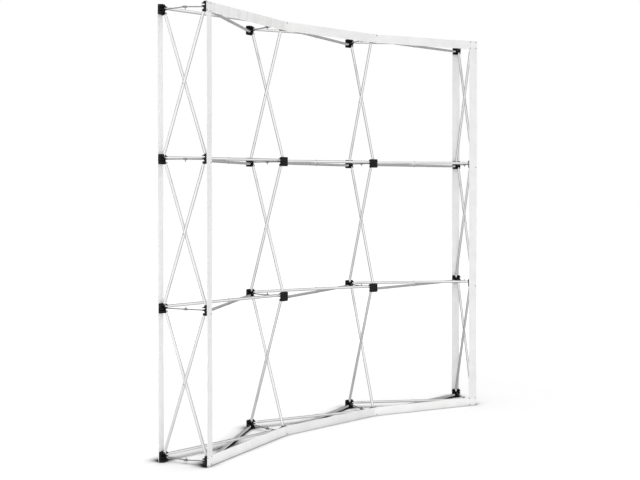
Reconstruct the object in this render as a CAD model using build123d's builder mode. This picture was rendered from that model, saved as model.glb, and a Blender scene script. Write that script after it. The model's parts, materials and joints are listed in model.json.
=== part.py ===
from build123d import *

from math import cos, radians, sin, tan
import os

os.makedirs("parts", exist_ok=True)

# Pop-up display backwall: a curved scissor lattice of black hubs and aluminium tubes, three
# bays wide and three high, with a front and a rear layer. Millimetres, +Z up. The hollow side
# of the curve faces -Y. The origin is on the floor, under the middle of the overall box.

# ---------------------------------------------------------------- driving dimensions
bays = 3
gaps = 3
front_pitch = 692.0  # hub centre to hub centre along the front layer
level_pitch = 735.0  # hub centre to hub centre, upwards
layer_depth = 224.0  # pin plane of the front layer to pin plane of the rear layer
bay_angle = 17.8  # turn from one column to the next

hub_size = 50.0
hub_corner = 6.0
hub_edge = 1.2
plate_thickness = 8.0
pin_inset = 22.0  # hub face to pin plane
rim_wall = 2.5
rim_height = 5.5
block_width = 9.0  # the thick outer wall beside each outer fork
block_height = 10.0
block_inset = 1.0  # from the edge of the hub to the end of a block

pin_diameter = 4.0
pin_head_diameter = 5.8
pin_head_height = 1.0
pin_head_taper = 20.0
lug_radius = 6.5
lug_thickness = 4.0
tang_thickness = 8.0
tang_radius = 5.0
tang_length = 12.0  # pin to the shoulder of a tube end
shoulder_thickness = 2.0
spigot_length = 22.0

tube_diameter = 15.0
tube_wall = 1.2
crossing_gap = 1.0  # between the two tubes of a pair, where the washer sits
rivet_diameter = 4.0
rivet_head_diameter = 8.0
rivet_head_height = 2.0
rivet_head_taper = 30.0
washer_diameter = 11.0

arm_eye_thickness = 4.0  # the flat ends of an arm, on the hub pin and at the catch
arm_eye_radius = 5.0
arm_rod_diameter = 5.5
arm_rod_start = 7.0
arm_tilt = 3.5  # the top arms rise and the bottom arms dip towards their catch
catch_pin_diameter = 4.0
catch_wall = 3.0
hook_length = 11.0
hook_nose = 14.0
hook_lip = 4.0
hook_flare = 1.2
fork_cheek = 2.5
fork_base = 4.0
fork_reach = 7.5

tape_thickness = 2.0
tape_joint = 0.6
tape_rivet_spacing = 37.0
tape_rivet_diameter = 2.5
tape_rivet_head_diameter = 6.0
tape_rivet_head_height = 1.0
tape_rivet_head_taper = 25.0
tape_rivet_depth = 5.0
tape_rivet_sink = 0.2  # the heads are pressed in, a little below the face of the tape
tape_cut_corner = 1.2  # on the two tapes that are cut to fit between the others

pin_clearance = 0.05  # a pin or rivet in its hole, all round
spigot_clearance = 0.05
slot_clearance = 0.3  # a tang between its lugs, each side
slot_relief = 1.5  # slot floor to the back of the plate
seat_gap = 0.05  # under a rivet head, and each side of a washer
catch_clearance = 0.5  # the catch pin in its hook, all round
bottom_of_hole = 0.5
cut_margin = 2.5  # how far a cutting shape runs past what it cuts

# ---------------------------------------------------------------- worked out from them
columns = bays + 1
levels = gaps + 1
front_radius = front_pitch / 2 / sin(radians(bay_angle / 2))
rear_radius = front_radius + layer_depth
pin_offset = hub_size / 2 - lug_radius
tube_offset = (tube_diameter + crossing_gap) / 2
plate_back = pin_inset - plate_thickness
tube_slot = tang_thickness + 2 * slot_clearance
arm_slot = arm_eye_thickness + 2 * slot_clearance
face_of_tape = pin_inset + tape_thickness
half_hub = hub_size / 2
overall_height = gaps * level_pitch + hub_size
arm_reach = layer_depth / 2 / cos(radians(arm_tilt))
tape_corner = hub_corner  # where a tape ends on a corner hub


def plan_point(column, radius, side=0.0):
    """A point in plan: out along the column's spoke, and sideways from it."""
    turn = radians((column - (columns - 1) / 2) * bay_angle)
    x = radius * sin(turn) + side * cos(turn)
    y = radius * cos(turn) - side * sin(turn)
    return x, y


end_spoke_face = front_radius - face_of_tape
foremost = plan_point(0, end_spoke_face, -half_hub)[1]
rearmost = max(
    plan_point(0, rear_radius + face_of_tape, half_hub)[1],
    plan_point(bays // 2, rear_radius + pin_inset, half_hub)[1],
)
centre_of_curve = -(foremost + rearmost) / 2


def level_height(level):
    return half_hub + level * level_pitch


def spoke_point(column, level, radius, side=0.0, up=0.0):
    x, y = plan_point(column, radius, side)
    return Vector(x, y + centre_of_curve, level_height(level) + up)


def spoke_turn(column):
    return (column - (columns - 1) / 2) * bay_angle


def outward(column, layer):
    """The way a hub of this layer faces."""
    turn = radians(spoke_turn(column))
    sign = 1 if layer == "rear" else -1
    return Vector(sign * sin(turn), sign * cos(turn), 0)


def sideways(column):
    turn = radians(spoke_turn(column))
    return Vector(cos(turn), -sin(turn), 0)


def layer_radius(layer):
    return rear_radius if layer == "rear" else front_radius


def hub_place(column, level, layer):
    """Where a hub stands: its pin plane on the layer's circle, its face turned outwards."""
    half_turn = 0 if layer == "rear" else 180
    place = spoke_point(column, level, layer_radius(layer))
    return Location(place, (0, 0, half_turn - spoke_turn(column)))


# ---------------------------------------------------------------- hub
# One moulding serves every node. It has a square face plate and five forks behind it: upper
# and lower for the upright tubes, right and left for the level tubes, and one in the middle
# for the locking arm. The four outer forks stand off centre so that crossing tubes pass, and
# each has a thick block on its outer side.
fork_places = {
    "upper": ((-tube_offset, 0, pin_offset), (1, 0, 0), tube_slot),
    "lower": ((tube_offset, 0, -pin_offset), (1, 0, 0), tube_slot),
    "right": ((pin_offset, 0, tube_offset), (0, 0, 1), tube_slot),
    "left": ((-pin_offset, 0, -tube_offset), (0, 0, 1), tube_slot),
    "middle": ((0, 0, 0), (1, 0, 0), arm_slot),
}


def fork_plane(name):
    place, pin_axis, _ = fork_places[name]
    return Plane(origin=place, x_dir=(0, 1, 0), z_dir=pin_axis)


def half_fork(name):
    """Half the width of a fork, from the middle of its slot to the outside of a lug."""
    return fork_places[name][2] / 2 + lug_thickness


with BuildPart() as hub:
    with BuildSketch(Plane.XZ.offset(-pin_inset)):
        RectangleRounded(hub_size, hub_size, hub_corner)
    extrude(amount=plate_thickness)
    fillet(hub.faces().sort_by(Axis.Y)[-1].edges(), radius=hub_edge)
    with BuildSketch(Plane.XZ.offset(-plate_back)):
        RectangleRounded(hub_size, hub_size, hub_corner)
        RectangleRounded(
            hub_size - 2 * rim_wall,
            hub_size - 2 * rim_wall,
            hub_corner - rim_wall,
            mode=Mode.SUBTRACT,
        )
    extrude(amount=rim_height)
    block_side = -tube_offset - tube_slot / 2 - block_width / 2
    block_length = 2 * lug_radius - block_inset
    block_middle = half_hub - block_inset - block_length / 2
    with BuildSketch(Plane.XZ.offset(-plate_back)):
        with PolarLocations(0, 4):
            with Locations((block_side, block_middle)):
                Rectangle(block_width, block_length)
    extrude(amount=block_height)
    for name in fork_places:
        with BuildSketch(fork_plane(name)):
            Circle(lug_radius)
            Rectangle(plate_back, 2 * lug_radius, align=(Align.MIN, Align.CENTER))
        extrude(amount=half_fork(name), both=True)
    for name in fork_places:
        slot_floor = plate_back - slot_relief
        with BuildSketch(fork_plane(name)):
            with Locations((slot_floor, 0)):
                Rectangle(
                    slot_floor + lug_radius + cut_margin,
                    2 * (lug_radius + cut_margin),
                    align=(Align.MAX, Align.CENTER),
                )
        extrude(amount=fork_places[name][2] / 2, both=True, mode=Mode.SUBTRACT)
        with BuildSketch(fork_plane(name)):
            Circle(pin_diameter / 2 + pin_clearance)
        extrude(amount=half_fork(name) + cut_margin, both=True, mode=Mode.SUBTRACT)
    with BuildSketch(Plane.XZ.offset(-pin_inset)):
        with GridLocations(tape_rivet_spacing, tape_rivet_spacing, 2, 2):
            Circle(tape_rivet_diameter / 2 + pin_clearance)
    extrude(amount=tape_rivet_depth + bottom_of_hole, mode=Mode.SUBTRACT)

for layer in ("front", "rear"):
    for column in range(columns):
        with BuildPart() as hub_column:
            with Locations(*[hub_place(column, level, layer) for level in range(levels)]):
                add(hub.part, clean=False)
        hub_column.part.label = f"{layer}_hubs_{column + 1}"
        export_step(hub_column.part, f"parts/{hub_column.part.label}.step")


# ---------------------------------------------------------------- where the tubes run
def upright_pair(column, gap):
    """The two tubes that cross between two levels of one column: start pin, end pin, pin axis."""
    across = sideways(column)
    low = pin_offset
    high = -pin_offset
    rising_front = (
        spoke_point(column, gap, front_radius, tube_offset, low),
        spoke_point(column, gap + 1, rear_radius, tube_offset, high),
    )
    rising_rear = (
        spoke_point(column, gap, rear_radius, -tube_offset, low),
        spoke_point(column, gap + 1, front_radius, -tube_offset, high),
    )
    return [(*rising_front, across), (*rising_rear, across)]


def level_pair(bay, level):
    """The two tubes that cross between two columns of one level: start pin, end pin, pin axis."""
    upright = Vector(0, 0, 1)
    from_front = (
        spoke_point(bay, level, front_radius, pin_offset, -tube_offset),
        spoke_point(bay + 1, level, rear_radius, -pin_offset, -tube_offset),
    )
    to_front = (
        spoke_point(bay + 1, level, front_radius, -pin_offset, tube_offset),
        spoke_point(bay, level, rear_radius, pin_offset, tube_offset),
    )
    return [(*from_front, upright), (*to_front, upright)]


def tube_place(run):
    start, end, pin_axis = run
    return Plane(origin=start, x_dir=end - start, z_dir=pin_axis).location


def tube_length(run):
    return (run[1] - run[0]).length


upright_length = tube_length(upright_pair(0, 0)[0])
level_length = tube_length(level_pair(0, 0)[0])

# In plan the level tubes cross on the middle line of the bay, nearer to the front pins.
front_half_width = front_pitch / 2 - pin_offset * cos(radians(bay_angle / 2))
rear_pitch = 2 * rear_radius * sin(radians(bay_angle / 2))
rear_half_width = rear_pitch / 2 - pin_offset * cos(radians(bay_angle / 2))
level_crossing = level_length * front_half_width / (front_half_width + rear_half_width)
upright_crossing = upright_length / 2

upright_runs = {
    column: [run for gap in range(gaps) for run in upright_pair(column, gap)]
    for column in range(columns)
}
level_runs = {
    level: [run for bay in range(bays) for run in level_pair(bay, level)]
    for level in range(levels)
}


# ---------------------------------------------------------------- tubes
# Thin aluminium tube, cut to two lengths and drilled once for the crossing rivet. A tube
# lies along its own X, from pin to pin, and its pins and its rivet stand along its own Z.
def make_tube(length, crossing):
    end = tang_length + shoulder_thickness
    with BuildPart() as tube:
        with BuildSketch(Plane.YZ.offset(end)):
            Circle(tube_diameter / 2)
            Circle(tube_diameter / 2 - tube_wall, mode=Mode.SUBTRACT)
        extrude(amount=length - 2 * end)
        with Locations((crossing, 0, 0)):
            Cylinder(
                rivet_diameter / 2 + pin_clearance,
                tube_diameter + cut_margin,
                mode=Mode.SUBTRACT,
            )
    return tube.part


upright_tube = make_tube(upright_length, upright_crossing)
level_tube = make_tube(level_length, level_crossing)

for column in range(columns):
    with BuildPart() as upright_tubes:
        with Locations(*[tube_place(run) for run in upright_runs[column]]):
            add(upright_tube, clean=False)
    upright_tubes.part.label = f"upright_tubes_{column + 1}"
    export_step(upright_tubes.part, f"parts/{upright_tubes.part.label}.step")

for level in range(levels):
    with BuildPart() as level_tubes:
        with Locations(*[tube_place(run) for run in level_runs[level]]):
            add(level_tube, clean=False)
    level_tubes.part.label = f"level_tubes_{level + 1}"
    export_step(level_tubes.part, f"parts/{level_tubes.part.label}.step")

# ---------------------------------------------------------------- tube ends
# A moulded end is pressed into each tube: a round spigot, a shoulder as wide as the tube,
# and a flat tang that turns on the pin between the lugs of a hub.
with BuildPart() as tube_end:
    with BuildSketch(Plane.XY):
        Circle(tang_radius)
        Rectangle(tang_length, 2 * tang_radius, align=(Align.MIN, Align.CENTER))
    extrude(amount=tang_thickness / 2, both=True)
    with BuildSketch(Plane.YZ.offset(tang_length)):
        Circle(tube_diameter / 2)
    extrude(amount=shoulder_thickness)
    with BuildSketch(Plane.YZ.offset(tang_length + shoulder_thickness)):
        Circle(tube_diameter / 2 - tube_wall - spigot_clearance)
    extrude(amount=spigot_length)
    chamfer(tube_end.faces().sort_by(Axis.X)[-1].edges(), length=tube_wall)
    Cylinder(pin_diameter / 2 + pin_clearance, tang_thickness + cut_margin, mode=Mode.SUBTRACT)


def end_places(run, length):
    """Both ends of a tube, the second one turned round to face back along it."""
    place = tube_place(run)
    return [place, place * Location((length, 0, 0), (0, 0, 180))]


for name, runs, length in (
    ("upright_tube_ends", upright_runs, upright_length),
    ("level_tube_ends", level_runs, level_length),
):
    with BuildPart() as tube_ends:
        for row in runs.values():
            with Locations(*[place for run in row for place in end_places(run, length)]):
                add(tube_end.part, clean=False)
    tube_ends.part.label = name
    export_step(tube_ends.part, f"parts/{name}.step")

# ---------------------------------------------------------------- crossing rivets and washers
rivet_half = tube_offset + tube_diameter / 2 + seat_gap
with BuildPart() as crossing_rivet:
    Cylinder(rivet_diameter / 2, 2 * rivet_half)
    for side in (1, -1):
        with BuildSketch(Plane.XY.offset(side * rivet_half)):
            Circle(rivet_head_diameter / 2)
        extrude(amount=side * rivet_head_height, taper=rivet_head_taper)

with BuildPart() as crossing_washer:
    Cylinder(washer_diameter / 2, crossing_gap - 2 * seat_gap)
    Cylinder(rivet_diameter / 2 + pin_clearance, crossing_gap + cut_margin, mode=Mode.SUBTRACT)


def crossing_place(pair, crossing):
    """Midway between the two tubes of a pair, where they cross."""
    over, under = (tube_place(run) * Location((crossing, 0, 0)) for run in pair)
    middle = (over.position + under.position) / 2
    return Plane(origin=middle, z_dir=pair[0][2]).location


upright_crossings = [
    crossing_place(upright_pair(column, gap), upright_crossing)
    for column in range(columns)
    for gap in range(gaps)
]
level_crossings = [
    crossing_place(level_pair(bay, level), level_crossing)
    for level in range(levels)
    for bay in range(bays)
]

for name, piece in (
    ("crossing_rivets", crossing_rivet),
    ("crossing_washers", crossing_washer),
):
    with BuildPart() as crossings:
        with Locations(*upright_crossings, *level_crossings):
            add(piece.part, clean=False)
    crossings.part.label = name
    export_step(crossings.part, f"parts/{name}.step")

# ---------------------------------------------------------------- hub pins
# A headed pin goes through the lugs of each fork that is in use.
def make_pin(name):
    half_length = half_fork(name) + seat_gap
    with BuildPart() as hub_pin:
        Cylinder(pin_diameter / 2, 2 * half_length)
        for side in (1, -1):
            with BuildSketch(Plane.XY.offset(side * half_length)):
                Circle(pin_head_diameter / 2)
            extrude(amount=side * pin_head_height, taper=pin_head_taper)
    return hub_pin.part


def fork_in_use(name, column, level, layer):
    """Is there a tube or an arm in this fork? A front hub's own right is the frame's left."""
    right_free = column == columns - 1 if layer == "rear" else column == 0
    left_free = column == 0 if layer == "rear" else column == columns - 1
    empty = {
        "upper": level == levels - 1,
        "lower": level == 0,
        "right": right_free,
        "left": left_free,
        "middle": False,
    }
    return not empty[name]


def pin_places(name):
    return [
        hub_place(column, level, layer) * fork_plane(name).location
        for layer in ("front", "rear")
        for column in range(columns)
        for level in range(levels)
        if fork_in_use(name, column, level, layer)
    ]


with BuildPart() as hub_pins:
    for name in fork_places:
        with Locations(*pin_places(name)):
            add(make_pin(name), clean=False)
hub_pins.part.label = "hub_pins"
export_step(hub_pins.part, "parts/hub_pins.step")

# ---------------------------------------------------------------- locking arms
# Each front hub is held to its rear hub by two thin arms that meet halfway. The rear arm ends
# in a hook, and the front arm in a fork whose cross pin lies in the hook. An arm lies along
# its own X from its hub pin, and turns about its own Y.
catch_radius = catch_pin_diameter / 2 + catch_clearance
hook_radius = catch_radius + catch_wall
cheek_outer = arm_slot / 2 + fork_cheek


def make_arm_root():
    """The flat eye on the hub pin and the round rod, as far as the catch."""
    with BuildPart() as root:
        with BuildSketch(Plane.XZ):
            Circle(arm_eye_radius)
            Rectangle(
                arm_rod_start + arm_rod_diameter,
                arm_rod_diameter,
                align=(Align.MIN, Align.CENTER),
            )
        extrude(amount=arm_eye_thickness / 2, both=True)
        with BuildSketch(Plane.XZ):
            Circle(pin_diameter / 2 + pin_clearance)
        extrude(amount=arm_eye_thickness / 2 + cut_margin, both=True, mode=Mode.SUBTRACT)
    return root.part


with BuildPart() as rear_arm:
    add(make_arm_root())
    with BuildSketch(Plane.YZ.offset(arm_rod_start)):
        Circle(arm_rod_diameter / 2)
    extrude(amount=arm_reach - fork_reach - arm_rod_start)
    with BuildSketch(Plane.XZ):
        with BuildLine():
            Polyline(
                (arm_reach - hook_length, -arm_rod_diameter / 2),
                (arm_reach - hook_length, arm_rod_diameter / 2),
                (arm_reach - hook_radius, hook_radius),
                (arm_reach + catch_radius, hook_radius),
                (arm_reach + hook_radius, catch_radius),
                (arm_reach + hook_radius, -hook_nose),
                (arm_reach + catch_radius, -hook_nose),
                (arm_reach + catch_radius, -hook_lip),
                (arm_reach - hook_radius, -hook_lip),
                close=True,
            )
        make_face()
        with Locations((arm_reach, 0)):
            Circle(catch_radius, mode=Mode.SUBTRACT)
        with BuildLine():
            Polyline(
                (arm_reach - catch_radius, 0),
                (arm_reach + catch_radius, 0),
                (arm_reach + catch_radius + hook_flare, -hook_nose),
                (arm_reach - catch_radius - hook_flare, -hook_nose),
                close=True,
            )
        make_face(mode=Mode.SUBTRACT)
    extrude(amount=arm_eye_thickness / 2, both=True)

with BuildPart() as front_arm:
    add(make_arm_root())
    with BuildSketch(Plane.YZ.offset(arm_rod_start)):
        Circle(arm_rod_diameter / 2)
    extrude(amount=arm_reach - fork_reach - fork_base - arm_rod_start)
    with BuildSketch(Plane.XZ):
        with Locations((arm_reach, 0)):
            Circle(arm_eye_radius)
            Rectangle(fork_reach + fork_base, 2 * arm_eye_radius, align=(Align.MAX, Align.CENTER))
    extrude(amount=cheek_outer, both=True)
    with BuildSketch(Plane.XZ):
        with Locations((arm_reach - fork_reach, 0)):
            Rectangle(
                fork_reach + arm_eye_radius + cut_margin,
                2 * (arm_eye_radius + cut_margin),
                align=(Align.MIN, Align.CENTER),
            )
    extrude(amount=arm_slot / 2, both=True, mode=Mode.SUBTRACT)
    with BuildSketch(Plane.XZ):
        with Locations((arm_reach, 0)):
            Circle(catch_pin_diameter / 2 + pin_clearance)
    extrude(amount=cheek_outer + cut_margin, both=True, mode=Mode.SUBTRACT)

with BuildPart() as catch_pin:
    with BuildSketch(Plane.XZ):
        with Locations((arm_reach, 0)):
            Circle(catch_pin_diameter / 2)
    extrude(amount=cheek_outer, both=True)


def arm_place(column, level, layer):
    """The arm points inwards from its hub. In the lower half the catch is upside down."""
    facing = outward(column, layer)
    tilt = radians(arm_tilt) * ((level == levels - 1) - (level == 0))
    along = facing * -cos(tilt) + Vector(0, 0, sin(tilt))
    upside_down = -1 if level < levels / 2 else 1
    rise = (facing * sin(tilt) + Vector(0, 0, cos(tilt))) * upside_down
    return Plane(
        origin=spoke_point(column, level, layer_radius(layer)), x_dir=along, z_dir=rise
    ).location


for column in range(columns):
    for level in range(levels):
        with BuildPart() as hooked_arm:
            with Locations(arm_place(column, level, "rear")):
                add(rear_arm.part)
        hooked_arm.part.label = f"rear_arm_{column + 1}_{level + 1}"
        export_step(hooked_arm.part, f"parts/{hooked_arm.part.label}.step")

        with BuildPart() as forked_arm:
            with Locations(arm_place(column, level, "front")):
                add(front_arm.part)
                add(catch_pin.part)
        forked_arm.part.label = f"front_arm_{column + 1}_{level + 1}"
        export_step(forked_arm.part, f"parts/{forked_arm.part.label}.step")


# ---------------------------------------------------------------- tapes
# Stiff hook tape lies on the outer faces of the outermost hubs. The level tapes reach over
# the corner hubs, in one length for each bay. The upright tapes fit in between.
def tape_hole_places(column, level, layer):
    """The four rivet places on a hub's face, each with its Z pointing out of the face."""
    face = hub_place(column, level, layer) * Plane.XZ.offset(-face_of_tape).location
    half = tape_rivet_spacing / 2
    corners = [(-half, half), (half, half), (half, -half), (-half, -half)]
    return [face * Location((x, y, 0), (180, 0, 0)) for x, y in corners]


corner_places = [
    place
    for layer in ("front", "rear")
    for column in (0, columns - 1)
    for level in (0, levels - 1)
    for place in tape_hole_places(column, level, layer)
]
inner_places = [
    tape_hole_places(column, level, "front")[0 if level else 3]
    for column in range(1, columns - 1)
    for level in (0, levels - 1)
]
side_places = [
    tape_hole_places(column, level, layer)[3]
    for layer in ("front", "rear")
    for column in (0, columns - 1)
    for level in range(1, levels - 1)
]
rivet_places = corner_places + inner_places + side_places


def drill_tape():
    """Each hole has a shallow seat, so that the rivet's head doesn't stand proud of the tape."""
    with Locations(*rivet_places):
        CounterBoreHole(
            radius=tape_rivet_diameter / 2 + pin_clearance,
            counter_bore_radius=tape_rivet_head_diameter / 2 + pin_clearance,
            counter_bore_depth=tape_rivet_sink + tape_rivet_head_height + seat_gap,
            depth=tape_thickness + cut_margin,
        )


mitre = tape_thickness * tan(radians(bay_angle / 4))
end_spoke = {0: -half_hub, bays: half_hub}


def level_tape_outline(bay):
    """One length in plan: flat on half of each hub's face, straight in between."""
    near = end_spoke.get(bay, tape_joint / 2)
    far = end_spoke.get(bay + 1, -tape_joint / 2)
    back = front_radius - pin_inset
    face = front_radius - face_of_tape
    corners = [
        plan_point(bay, back, near),
        plan_point(bay, back, half_hub),
        plan_point(bay + 1, back, -half_hub),
        plan_point(bay + 1, back, far),
        plan_point(bay + 1, face, far),
        plan_point(bay + 1, face, -half_hub + mitre),
        plan_point(bay, face, half_hub - mitre),
        plan_point(bay, face, near),
    ]
    return [(x, y + centre_of_curve) for x, y in corners]


for name, level in (("front_top_tape", levels - 1), ("front_bottom_tape", 0)):
    with BuildPart() as level_tape:
        for bay in range(bays):
            with BuildSketch(Plane.XY.offset(level_height(level) - half_hub)):
                with BuildLine():
                    Polyline(*level_tape_outline(bay), close=True)
                make_face()
            extrude(amount=hub_size)
        cut_edges = level_tape.edges().filter_by(
            lambda edge: abs(edge.length - tape_thickness) < seat_gap
        )
        across = cut_edges.group_by(Axis.X)
        fillet(across[0] + across[-1], radius=tape_corner)
        drill_tape()
    level_tape.part.label = name
    export_step(level_tape.part, f"parts/{name}.step")

side_names = {0: "left", columns - 1: "right"}
for layer, lower_end, upper_end, corner in (
    ("front", hub_size + tape_joint, overall_height - hub_size - tape_joint, tape_cut_corner),
    ("rear", 0, overall_height, tape_corner),
):
    for column, side_name in side_names.items():
        tape_plane = Plane(hub_place(column, 0, layer) * Plane.XZ.offset(-pin_inset).location)
        middle = (lower_end + upper_end) / 2 - half_hub
        with BuildPart() as upright_tape:
            with BuildSketch(tape_plane):
                with Locations((0, middle)):
                    RectangleRounded(hub_size, upper_end - lower_end, corner)
            extrude(amount=-tape_thickness)
            drill_tape()
        upright_tape.part.label = f"{layer}_{side_name}_tape"
        export_step(upright_tape.part, f"parts/{upright_tape.part.label}.step")

# ---------------------------------------------------------------- tape rivets
under_head = tape_rivet_sink + tape_rivet_head_height
with BuildPart() as tape_rivet:
    with BuildSketch(Plane.XY.offset(-under_head)):
        Circle(tape_rivet_head_diameter / 2)
    extrude(amount=tape_rivet_head_height, taper=tape_rivet_head_taper)
    with BuildSketch(Plane.XY.offset(-under_head)):
        Circle(tape_rivet_diameter / 2)
    extrude(amount=-(tape_thickness + tape_rivet_depth - under_head))

with BuildPart() as tape_rivets:
    with Locations(*rivet_places):
        add(tape_rivet.part, clean=False)
tape_rivets.part.label = "tape_rivets"
export_step(tape_rivets.part, "parts/tape_rivets.step")

print("rear pitch", round(rear_pitch, 1))
print("upright tube, pin to pin", round(upright_length, 1))
print("level tube, pin to pin", round(level_length, 1))
print("centre of the curve at y", round(centre_of_curve, 2))
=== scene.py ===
import json
from functools import partial
from math import atan2, cos, pi, radians, sin

import bmesh
import bpy
from mathutils import Matrix, Vector


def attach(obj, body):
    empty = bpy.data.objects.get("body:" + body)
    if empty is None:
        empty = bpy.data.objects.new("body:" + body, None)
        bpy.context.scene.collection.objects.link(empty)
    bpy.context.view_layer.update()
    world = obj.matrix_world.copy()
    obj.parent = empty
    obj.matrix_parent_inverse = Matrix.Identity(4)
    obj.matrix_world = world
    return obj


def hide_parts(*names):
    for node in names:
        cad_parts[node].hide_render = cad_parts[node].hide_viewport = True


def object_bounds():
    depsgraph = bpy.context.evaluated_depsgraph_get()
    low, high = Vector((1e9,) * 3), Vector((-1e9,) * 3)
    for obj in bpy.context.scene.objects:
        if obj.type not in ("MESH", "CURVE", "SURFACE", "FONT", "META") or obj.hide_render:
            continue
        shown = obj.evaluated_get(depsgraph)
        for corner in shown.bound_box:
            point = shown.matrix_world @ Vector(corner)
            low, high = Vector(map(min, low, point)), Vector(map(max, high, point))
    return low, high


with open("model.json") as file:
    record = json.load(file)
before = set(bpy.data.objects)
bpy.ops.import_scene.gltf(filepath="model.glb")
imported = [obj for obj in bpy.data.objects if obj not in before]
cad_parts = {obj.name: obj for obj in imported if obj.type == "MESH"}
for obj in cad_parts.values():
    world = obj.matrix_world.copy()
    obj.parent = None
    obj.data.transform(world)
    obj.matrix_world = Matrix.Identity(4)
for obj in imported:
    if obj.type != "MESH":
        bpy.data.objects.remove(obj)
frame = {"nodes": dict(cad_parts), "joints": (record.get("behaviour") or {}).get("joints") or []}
cad_low, cad_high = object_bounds()
nodes = frame["nodes"]

# ---------------------------------------------------------------- hubs
# Thirty-two hubs, sixteen to a layer, moulded in black nylon. Each has a square face with
# rounded corners, and forks behind it in which the tube ends and a locking arm are pinned.
columns = (1, 2, 3, 4)
levels = (1, 2, 3, 4)
layers = ("front", "rear")


def new_finish(name):
    """A material, the tree that its nodes go in, and its Principled shader."""
    finish = bpy.data.materials.new(name)
    finish.use_nodes = True
    tree = finish.node_tree
    return finish, tree, tree.nodes["Principled BSDF"]


def add_node(tree, kind, inputs=None, **settings):
    """Adds a shader node. Each input is a plain value, or the socket that feeds it."""
    node = tree.nodes.new(kind)
    for name, value in settings.items():
        setattr(node, name, value)
    for name, value in (inputs or {}).items():
        if isinstance(value, bpy.types.NodeSocket):
            tree.links.new(value, node.inputs[name])
        else:
            node.inputs[name].default_value = value
    return node


def mottle(tree, where, scale, detail=3.0, roughness=0.5):
    """Soft irregular patches, as a factor from 0 to 1."""
    inputs = {"Vector": where, "Scale": scale, "Detail": detail, "Roughness": roughness}
    return add_node(tree, "ShaderNodeTexNoise", inputs).outputs["Fac"]


def map_range(tree, value, taken, given, curve="LINEAR"):
    """Takes one range to another, and holds what lies outside at its ends."""
    inputs = {"Value": value, "From Min": taken[0], "From Max": taken[1]}
    inputs |= {"To Min": given[0], "To Max": given[1]}
    node = add_node(tree, "ShaderNodeMapRange", inputs, interpolation_type=curve)
    return node.outputs["Result"]


def spread(tree, factor, low, high):
    """The middle of a noise factor, stretched to run from low to high."""
    return map_range(tree, factor, (0.3, 0.7), (low, high))


def two_tones(tree, factor, dark, light):
    mix = add_node(tree, "ShaderNodeMix", data_type="RGBA")
    tree.links.new(factor, mix.inputs[0])
    mix.inputs[6].default_value = (*dark, 1)
    mix.inputs[7].default_value = (*light, 1)
    return mix.outputs[2]


def raise_surface(tree, skin, height, strength, distance):
    inputs = {"Strength": strength, "Distance": distance, "Height": height}
    bump = add_node(tree, "ShaderNodeBump", inputs)
    tree.links.new(bump.outputs["Normal"], skin.inputs["Normal"])


def mottled_finish(name, dark, light, patch_scale, gloss, gloss_scale, relief=None, metallic=0):
    """Patches of two tones, an uneven gloss, and a fine relief of a scale, strength and depth."""
    finish, tree, skin = new_finish(name)
    place = add_node(tree, "ShaderNodeTexCoord").outputs["Object"]
    patches = spread(tree, mottle(tree, place, patch_scale), 0, 1)
    tree.links.new(two_tones(tree, patches, dark, light), skin.inputs["Base Color"])
    uneven = spread(tree, mottle(tree, place, gloss_scale), *gloss)
    tree.links.new(uneven, skin.inputs["Roughness"])
    if relief:
        scale, strength, depth = relief
        raise_surface(tree, skin, mottle(tree, place, scale, 2), strength, depth)
    skin.inputs["Metallic"].default_value = metallic
    return finish


def cover(names, finish):
    for name in names:
        nodes[name].material_slots[0].material = finish


black_nylon = mottled_finish(
    "black_nylon", (0.005, 0.005, 0.0055), (0.010, 0.010, 0.011), patch_scale=35,
    gloss=(0.38, 0.56), gloss_scale=160, relief=(1400, 0.35, 0.0002),
)
black_skin = black_nylon.node_tree.nodes["Principled BSDF"]
black_skin.inputs["Specular IOR Level"].default_value = 0.2
cover((f"{layer}_hubs_{column}" for layer in layers for column in columns), black_nylon)

# ---------------------------------------------------------------- tubes
# Drawn aluminium tube, clear anodised to a satin finish, that handling leaves slightly uneven.
# The tubes cross in pairs, riveted where they cross and pinned in the hub forks at their ends.
satin_aluminium = mottled_finish(
    "satin_aluminium", (0.90, 0.90, 0.902), (0.95, 0.95, 0.95), patch_scale=9,
    gloss=(0.20, 0.27), gloss_scale=70, relief=(500, 0.04, 0.0001), metallic=1,
)
cover((f"upright_tubes_{column}" for column in columns), satin_aluminium)
cover((f"level_tubes_{level}" for level in levels), satin_aluminium)

# ---------------------------------------------------------------- tube ends and washers
# Natural nylon mouldings, milky white: the ends that are pushed into the tubes, and the
# washers that the crossing rivets hold between the two tubes of a pair.
milky_nylon = mottled_finish(
    "milky_nylon", (0.80, 0.80, 0.78), (0.86, 0.86, 0.85), patch_scale=60,
    gloss=(0.30, 0.42), gloss_scale=300, relief=(900, 0.15, 0.0001),
)
cover(("upright_tube_ends", "level_tube_ends", "crossing_washers"), milky_nylon)

# ---------------------------------------------------------------- rivets, pins and locking arms
# Zinc-plated steel, bright on the crossing rivets and dull on the small fasteners. The arms are
# bent from rod, turn on their hub pins, and meet in a hook and a forked catch.
zinc_plate = mottled_finish(
    "zinc_plate", (0.42, 0.42, 0.43), (0.58, 0.58, 0.58), patch_scale=220,
    gloss=(0.25, 0.45), gloss_scale=500, metallic=1,
)
cover(("crossing_rivets",), zinc_plate)
dull_steel = mottled_finish(
    "dull_steel", (0.06, 0.06, 0.062), (0.12, 0.12, 0.12), patch_scale=220,
    gloss=(0.30, 0.50), gloss_scale=500, metallic=1,
)
cover(("hub_pins", "tape_rivets"), dull_steel)
plated_rod = mottled_finish(
    "plated_rod", (0.28, 0.28, 0.285), (0.40, 0.40, 0.40), patch_scale=45,
    gloss=(0.28, 0.46), gloss_scale=400, relief=(1800, 0.15, 0.0001), metallic=1,
)
for layer in layers:
    cover((f"{layer}_arm_{column}_{level}" for column in columns for level in levels), plated_rod)

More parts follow.
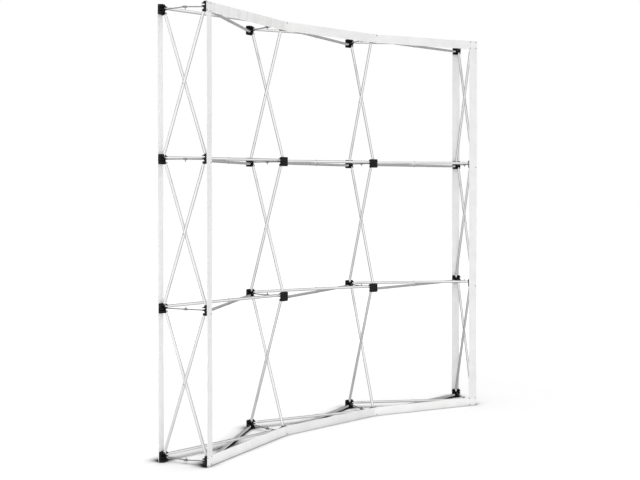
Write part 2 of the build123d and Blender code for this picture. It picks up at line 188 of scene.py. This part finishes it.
# ---------------------------------------------------------------- hook tapes
# Woven nylon tape, 50 mm wide, with short stiff hooks on its outer side that hold the hanging
# panels. It is cut to length, its outer corners are rounded, and rivets press it down on the
# hubs. Each level tape has one length for each bay, and they meet on the hubs between.
tape_width = 0.050
tape_thickness = 0.002
tape_rim = 0.0004  # the cut edges are slightly rounded
half_hub = 0.025
hub_face = 0.022  # from a hub's pins to its face
half_joint = 0.0003  # half of the slit between two lengths
round_corner = 0.006
cut_corner = 0.0012
rivet_offset = 0.0185  # from the middle of a hub, both ways
half_seat = 0.005
seat_rings = ((0.0048, 0.0), (0.0042, 0.00025), (0.0036, 0.0009), (0.0032, 0.00125))
seat_inset = 0.0004  # each new ring starts so far inside the last, and is then made round
station = 0.012  # how often a length may bend
crease = 0.009  # from the middle line to the cuts that let a length cup
half_bend = 0.006
wave_pitch = 0.094
wave_drift, wave_drift_rate = 1.7, 21
cup_height = 0.0009
ripple_height = 0.0005
ripple_rates = (11, 27)
hook_pitch = 0.0016
hook_depth = 0.0005
up = Vector((0, 0, 1))


def add_object(name, data):
    added = bpy.data.objects.new(name, data)
    bpy.context.scene.collection.objects.link(added)
    return added


def pivot(layer, column, level):
    """Where an arm turns: the middle of its hub, in the plane of the pins."""
    name = f"{layer}_arm_{column}_{level}_pivot"
    return Vector(next(joint["pos_m"] for joint in frame["joints"] if joint["name"] == name))


def facing(layer, column):
    other = "front" if layer == "rear" else "rear"
    return (pivot(layer, column, 1) - pivot(other, column, 1)).normalized()


def rightwards(column):
    return facing("rear", column).cross(up)


def round_edges(shape, edges, radius, segments):
    bmesh.ops.bevel(
        shape, geom=edges, offset=radius, segments=segments, profile=0.5, affect="EDGES", material=-1
    )


def blank_tape(start, end, corners):
    """A flat length with round corners: x along it, y across it, z out of its face."""
    shape = bmesh.new()
    bmesh.ops.create_cube(shape, size=1)
    bmesh.ops.scale(shape, vec=(end - start, tape_width, tape_thickness), verts=shape.verts)
    middle = Vector(((start + end) / 2, 0, tape_thickness / 2))
    bmesh.ops.translate(shape, vec=middle, verts=shape.verts)
    for place, radius in zip((start, end), corners):
        corner_edges = [
            edge
            for edge in shape.edges
            if all(abs(corner.co.x - place) < 1e-6 for corner in edge.verts)
            and abs(edge.verts[0].co.z - edge.verts[1].co.z) > tape_thickness / 2
        ]
        round_edges(shape, corner_edges, radius, segments=6)
    rims = [
        edge for edge in shape.edges if any(abs(face.normal.z) > 0.9 for face in edge.link_faces)
    ]
    round_edges(shape, rims, tape_rim, segments=2)
    return shape


def cut_across(shape, start, end, rivets):
    """Cuts the faces where the length bends and cups, and round the seat of each rivet."""
    seat_edges = [along + side for along, _ in rivets for side in (-half_seat, half_seat)]
    clear = half_seat + station / 4
    count = round((end - start) / station)
    evenly = [start + (end - start) * step / count for step in range(1, count)]
    evenly = [along for along in evenly if all(abs(along - rivet[0]) > clear for rivet in rivets)]
    sides = [0.0, -crease, crease]
    sides += [sign * rivet_offset + side for sign in (-1, 1) for side in (-half_seat, half_seat)]
    cuts = [((along, 0, 0), (1, 0, 0)) for along in sorted(set(seat_edges + evenly))]
    cuts += [((0, side, 0), (0, 1, 0)) for side in sides]
    for place, normal in cuts:
        everything = shape.verts[:] + shape.edges[:] + shape.faces[:]
        bmesh.ops.bisect_plane(shape, geom=everything, dist=1e-7, plane_co=place, plane_no=normal)


def press_seat(shape, along, side):
    """The round dip that the head of a rivet presses in the face."""
    centre = Vector((along, side, tape_thickness))
    seat = min(shape.faces, key=lambda face: (face.calc_center_median() - centre).length)
    bmesh.ops.bisect_edges(shape, edges=seat.edges[:], cuts=3)
    for radius, depth in seat_rings:
        bmesh.ops.inset_individual(
            shape, faces=[seat], thickness=seat_inset, use_even_offset=True
        )
        for corner in seat.verts:
            reach = corner.co - centre
            reach.z = 0
            corner.co = centre + reach.normalized() * radius
            corner.co.z -= depth


def cut_tape(start, end, corners, rivets):
    """A flat length with its rivet seats, and a map of its face for the hooks."""
    shape = blank_tape(start, end, corners)
    cut_across(shape, start, end, rivets)
    for along, side in rivets:
        press_seat(shape, along, side)
    flat_map = shape.loops.layers.uv.new("flat")
    for face in shape.faces:
        for loop in face.loops:
            loop[flat_map].uv = loop.vert.co.xy
    return shape


def level_route(near, headings, span, wave, along, side, out):
    """Straight over each hub and straight in between, with a small round bend."""
    place = near + headings[0] * along
    heading = headings[0].copy()
    for turn, before, after in ((half_hub, 0, 1), (half_hub + span, 1, 2)):
        past = min(max(along - turn + half_bend, 0), 2 * half_bend)
        change = headings[after] - headings[before]
        place += change * (past * past / (4 * half_bend) + max(along - turn - half_bend, 0))
        heading += change * past / (2 * half_bend)
    heading.normalize()
    between = min(max((along - half_hub) / span, 0), 1)
    drift = wave_drift * sin(along * wave_drift_rate)
    ripple = sin(pi * between) * sin(2 * pi * along / wave_pitch + drift)
    place += heading.cross(up) * (out + wave * (0.5 + 0.5 * ripple) * sin(pi * between))
    return place + up * side


def upright_route(foot, across, outwards, phase, along, side, out):
    """Upright, a little cupped where no hub is behind it, and not quite flat."""
    between = sin(pi * (along - half_hub) / level_pitch) ** 2
    cup = cup_height * (side / (tape_width / 2)) ** 2
    slow, fast = ripple_rates
    ripple = ripple_height * sin(along * slow + phase) * sin(along * fast + 2)
    return foot + across * side + outwards * (out + between * (cup + abs(ripple))) + up * along


def lay_tape(name, shape, route, finish, node):
    for corner in shape.verts:
        corner.co = route(*corner.co)
    mesh = bpy.data.meshes.new(name)
    bmesh.ops.recalc_face_normals(shape, faces=shape.faces)
    shape.to_mesh(mesh)
    shape.free()
    mesh.materials.append(finish)
    mesh.shade_smooth()
    mesh.set_sharp_from_angle(angle=radians(40))
    piece = add_object(name, mesh)
    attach(piece, "frame")
    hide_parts(node)


def calculate(tree, operation, first, second, clamp=False):
    inputs = {0: first, 1: second}
    node = add_node(tree, "ShaderNodeMath", inputs, operation=operation, use_clamp=clamp)
    return node.outputs[0]


def hook_finish(name, dark, light, ripple_shaded=False):
    """Matt cloth with a field of hooks. Its patches are soft, or bands across the tape that are painted
    shade of its ripples.
    """
    finish, tree, skin = new_finish(name)
    flat = add_node(tree, "ShaderNodeUVMap", uv_map="flat").outputs["UV"]
    cell = {"Vector": flat, "Scale": 1 / hook_pitch, "Randomness": 0.35}
    hooks = add_node(tree, "ShaderNodeTexVoronoi", cell).outputs["Distance"]
    place = add_node(tree, "ShaderNodeTexCoord").outputs["Object"]
    if ripple_shaded:
        # Painted shade: bands across the tape, darker and lighter, for the shading of its ripples.
        lengthwise = {0: flat, 1: (1, 0.04, 0)}
        lengthwise = add_node(tree, "ShaderNodeVectorMath", lengthwise, operation="MULTIPLY")
        patches = mottle(tree, lengthwise.outputs["Vector"], 34, detail=4, roughness=0.65)
    else:
        patches = mottle(tree, place, 14)
    between_hooks = calculate(tree, "MULTIPLY", hooks, 0.35)
    shade = calculate(tree, "ADD", spread(tree, patches, 0, 0.75), between_hooks)
    tree.links.new(two_tones(tree, shade, light, dark), skin.inputs["Base Color"])
    tree.links.new(spread(tree, mottle(tree, place, 260), 0.78, 0.95), skin.inputs["Roughness"])
    raise_surface(tree, skin, hooks, 0.45, -hook_depth)
    skin.inputs["Specular IOR Level"].default_value = 0.25
    skin.inputs["Sheen Weight"].default_value = 0.15
    skin.inputs["Sheen Roughness"].default_value = 0.5
    return finish


white_finish = hook_finish("white_hook_tape", (0.80, 0.80, 0.795), (0.87, 0.87, 0.868))
# The top left length has painted shade: wide dark and light bands across it for the shading of its
# ripples.
ripple_shade_finish = hook_finish(
    "ripple_shade_hook_tape", (0.72, 0.72, 0.715), (0.90, 0.90, 0.898), ripple_shaded=True
)
pale_finish = hook_finish("pale_hook_tape", (0.79, 0.79, 0.788), (0.86, 0.86, 0.86))
# Painted light: a brighter copy of the white tape, for lengths that the floor and lamps light too
# little, so that they come out as white as the rest.
painted_light_finish = hook_finish("painted_light_hook_tape", (0.88, 0.88, 0.876), (0.94, 0.94, 0.938))

both_ways = (-rivet_offset, rivet_offset)
flat_wave = 0.0006
waves = {("top", 1): 0.0030}
# Painted shade on the top left length, and painted light on the two outer bottom lengths.
level_finishes = {
    ("top", 1): ripple_shade_finish,
    ("bottom", 1): painted_light_finish,
    ("bottom", 3): painted_light_finish,
}
for height, level in (("top", 4), ("bottom", 1)):
    for bay in (1, 2, 3):
        near, far = (
            pivot("front", column, level) + facing("front", column) * hub_face
            for column in (bay, bay + 1)
        )
        leave = near + rightwards(bay) * half_hub
        reach = far - rightwards(bay + 1) * half_hub
        span = (reach - leave).length
        headings = (rightwards(bay), (reach - leave) / span, rightwards(bay + 1))
        wave = waves.get((height, bay), flat_wave)
        first, last = bay == 1, bay == 3
        total = span + 2 * half_hub
        start = -half_hub if first else half_joint
        end = total + half_hub if last else total - half_joint
        corners = (round_corner if first else cut_corner, round_corner if last else cut_corner)
        if first:
            rivets = [(along, side) for along in both_ways for side in both_ways]
        else:
            rivets = [(rivet_offset, rivet_offset if height == "top" else -rivet_offset)]
        if last:
            rivets += [(total + along, side) for along in both_ways for side in both_ways]
        shape = cut_tape(start, end, corners, rivets)
        route = partial(level_route, near, headings, span, wave)
        finish = level_finishes.get((height, bay), white_finish)
        node = f"front_{height}_tape"
        lay_tape(f"{node}_{bay}", shape, route, finish, node)

overall_height = cad_high[2]
level_pitch = (overall_height - 2 * half_hub) / 3
for layer, inset in (("front", tape_width + 2 * half_joint), ("rear", 0)):
    for column, hand in ((1, "left"), (4, "right")):
        outwards = facing(layer, column)
        foot = pivot(layer, column, 1) + outwards * hub_face
        foot.z = 0
        across = rightwards(column) if layer == "rear" else -rightwards(column)
        start, end = inset, overall_height - inset
        corner = round_corner if layer == "rear" else cut_corner
        ends = (half_hub, overall_height - half_hub) if layer == "rear" else ()
        rivets = [(height + along, side) for height in ends for along in both_ways for side in both_ways]
        rivets += [(half_hub + gap * level_pitch - rivet_offset, -rivet_offset) for gap in (1, 2)]
        shape = cut_tape(start, end, (corner, corner), rivets)
        route = partial(upright_route, foot, across, outwards, column)
        # The rear left tape has the painted light finish; the others have the pale one.
        finish = painted_light_finish if (layer, hand) == ("rear", "left") else pale_finish
        node = f"{layer}_{hand}_tape"
        lay_tape(f"{node}_1", shape, route, finish, node)

# ---------------------------------------------------------------- camera, floor and light
# The frame stands on a white studio floor, seen from the front left at eye height. The floor
# fades to plain white around it. Near the frame a shadow is painted on it: ambient occlusion masks
# darken its colour and its glow.
camera_data = bpy.data.cameras.new("camera")
camera_data.sensor_width = 36.0
camera_data.lens = 56.05
camera_data.shift_x = -0.0169
camera_data.shift_y = -0.0623
camera = add_object("camera", camera_data)
camera.location = (-3.8168, -4.1870, 1.3700)
camera.rotation_euler = (pi / 2 - 0.0156, 0, -0.7413)
bpy.context.scene.camera = camera
bpy.context.scene.view_settings.view_transform = "Standard"

floor_reach = 40
fade_start, fade_end = 1.7, 3.2  # from the middle of the frame
near_lift, far_lift = 0.16, 0.45  # what the floor adds to the light that falls on it
# The painted shadow on the floor: two ambient occlusion masks, a wide one leaning towards the lamps and
# a close one straight up.
painted_shadow_lean = (-0.15, -0.60, 0.79)
wide_shadow_reach, wide_open = 0.10, (0.62, 1.0)  # how far it reaches, and the part left open
close_shadow_reach, close_open = 0.014, (0.20, 0.95)


def seen_directly(tree):
    """1 for what the camera, a reflection or a clear piece shows, and 0 for light that falls."""
    rays = add_node(tree, "ShaderNodeLightPath").outputs
    seen = calculate(tree, "ADD", rays["Is Camera Ray"], rays["Is Glossy Ray"])
    return calculate(tree, "ADD", seen, rays["Is Transmission Ray"], clamp=True)


def painted_shadow_mask(tree, distance, towards, open_part):
    """A painted shadow mask: 1 on open floor, and down to 0 where ambient occlusion, leaning towards the
    lamps, finds the object within the distance.
    """
    towards = dict(zip("XYZ", towards))
    normal = add_node(tree, "ShaderNodeCombineXYZ", towards).outputs["Vector"]
    inputs = {"Distance": distance, "Normal": normal}
    light = add_node(tree, "ShaderNodeAmbientOcclusion", inputs, samples=16).outputs["AO"]
    return map_range(tree, light, open_part, (0.0, 1.0), "SMOOTHSTEP")


floor_mesh = bpy.data.meshes.new("floor")
shape = bmesh.new()
bmesh.ops.create_grid(shape, x_segments=1, y_segments=1, size=floor_reach)
shape.to_mesh(floor_mesh)
shape.free()
add_object("floor", floor_mesh)
paint, tree, skin = new_finish("studio_floor")
skin.inputs["Roughness"].default_value = 0.9
skin.inputs["Specular IOR Level"].default_value = 0.1
skin.inputs["Emission Color"].default_value = (1, 1, 1, 1)
place = add_node(tree, "ShaderNodeTexCoord").outputs["Object"]
away = add_node(tree, "ShaderNodeVectorMath", {0: place}, operation="LENGTH").outputs["Value"]
lift = map_range(tree, away, (fade_start, fade_end), (near_lift, far_lift), "SMOOTHSTEP")
wide_shadow_mask = painted_shadow_mask(tree, wide_shadow_reach, painted_shadow_lean, wide_open)
close_shadow_mask = painted_shadow_mask(tree, close_shadow_reach, up, close_open)
painted_shadow_factor = calculate(tree, "MULTIPLY", wide_shadow_mask, close_shadow_mask)
# Painted shadow: the floor's colour goes from pale grey down to black where the masks close.
tree.links.new(two_tones(tree, painted_shadow_factor, (0, 0, 0), (0.8, 0.8, 0.8)), skin.inputs["Base Color"])
lift = calculate(tree, "MULTIPLY", seen_directly(tree), lift)
# The painted shadow darkens the floor's glow as well.
lift = calculate(tree, "MULTIPLY", lift, painted_shadow_factor)
tree.links.new(lift, skin.inputs["Emission Strength"])
floor_mesh.materials.append(paint)

# Painted reflections for the bare metal: a glowing dim grey shell round the object, which is open
# towards the camera, where the light stands, and a glowing floor disc that is dim behind the object and
# light in front.
# They are left out of the picture itself and give no matt light or shadow; only reflections show them.
shell_radius = 3.5
shell_left, shell_right = radians(60), radians(84)  # the open sides, from the camera's bearing
shell_rings = 12
shell_steps = 60
shell_reflection_glow = 0.38
shell_foot = 0.8  # the height at which the tone of the floor has become that of the shell
dim_floor_radius = 8.0
dim_floor_sides = 96
dim_floor_reflection_glow = 0.22
dim_floor_back, dim_floor_front = -2.0, 3.0
clearance = 0.002

shape = bmesh.new()
rises = [pi / 2 * step / shell_rings for step in range(shell_rings + 1)]
rings = [
    shape.verts.new((shell_radius * cos(rise) + clearance, 0, shell_radius * sin(rise) + clearance))
    for rise in rises
]
outline = rings + [shape.edges.new(pair) for pair in zip(rings, rings[1:])]
camera_bearing = atan2(camera.location.y, camera.location.x)
turn = Matrix.Rotation(camera_bearing + shell_right, 3, "Z")
bmesh.ops.rotate(shape, verts=shape.verts, cent=(0, 0, 0), matrix=turn)
sweep = 2 * pi - shell_left - shell_right
bmesh.ops.spin(shape, geom=outline, cent=(0, 0, 0), axis=(0, 0, 1), angle=sweep, steps=shell_steps)
lifted = Matrix.Translation((0, 0, clearance))
bmesh.ops.create_circle(
    shape, cap_ends=True, segments=dim_floor_sides, radius=dim_floor_radius, matrix=lifted
)
painted_reflection_mesh = bpy.data.meshes.new("painted_reflection_surround")
shape.to_mesh(painted_reflection_mesh)
shape.free()
painted_reflection_shell = add_object("painted_reflection_surround", painted_reflection_mesh)
painted_reflection_shell.visible_camera = False
painted_reflection_shell.visible_diffuse = False
painted_reflection_shell.visible_shadow = False
paint, tree, skin = new_finish("painted_reflection_grey")
skin.inputs["Base Color"].default_value = (0, 0, 0, 1)
skin.inputs["Specular IOR Level"].default_value = 0
skin.inputs["Emission Color"].default_value = (1, 1, 1, 1)
place = add_node(tree, "ShaderNodeTexCoord").outputs["Object"]
rise = add_node(tree, "ShaderNodeSeparateXYZ", {"Vector": place}).outputs["Z"]
forwards = {0: place, 1: (cos(camera_bearing), sin(camera_bearing), 0)}
ahead = add_node(tree, "ShaderNodeVectorMath", forwards, operation="DOT_PRODUCT").outputs["Value"]
depth_range = (dim_floor_back, dim_floor_front)
reflected_floor_glow = map_range(tree, ahead, depth_range, (dim_floor_reflection_glow, 1.0), "SMOOTHSTEP")
tone = map_range(tree, rise, (0, shell_foot), (reflected_floor_glow, shell_reflection_glow))
# The glow that paints the reflections: grey on the shell, dim at the back of the disc and light at its
# front.
tree.links.new(tone, skin.inputs["Emission Strength"])
painted_reflection_mesh.materials.append(paint)

# The world fills the shadows from all round, and is white where it is seen. Two softboxes give
# the rest, one beside the camera and one overhead.
world_fill = 0.70
world = bpy.data.worlds.new("studio")
bpy.context.scene.world = world
world.use_nodes = True
tree = world.node_tree
tree.nodes.clear()
fill, white = (
    add_node(tree, "ShaderNodeBackground", {"Color": (1, 1, 1, 1), "Strength": strength})
    for strength in (world_fill, 1.0)
)
surface = {0: seen_directly(tree), 1: fill.outputs[0], 2: white.outputs[0]}
surface = add_node(tree, "ShaderNodeMixShader", surface).outputs[0]
add_node(tree, "ShaderNodeOutputWorld", {"Surface": surface})


def add_softbox(name, place, target, size, watts):
    lamp = bpy.data.lights.new(name, "AREA")
    lamp.shape = "RECTANGLE"
    lamp.size, lamp.size_y = size
    lamp.energy = watts
    box = add_object(name, lamp)
    box.location = place
    box.rotation_euler = (Vector(place) - Vector(target)).to_track_quat("Z", "Y").to_euler()
    box.visible_glossy = False


add_softbox("front_softbox", (-4.2, -4.2, 1.5), (0, 0, 1.1), (3.0, 2.4), 125)
add_softbox("top_softbox", (0.2, 0.7, 7.0), (0, 0, 0), (5.0, 4.0), 195)
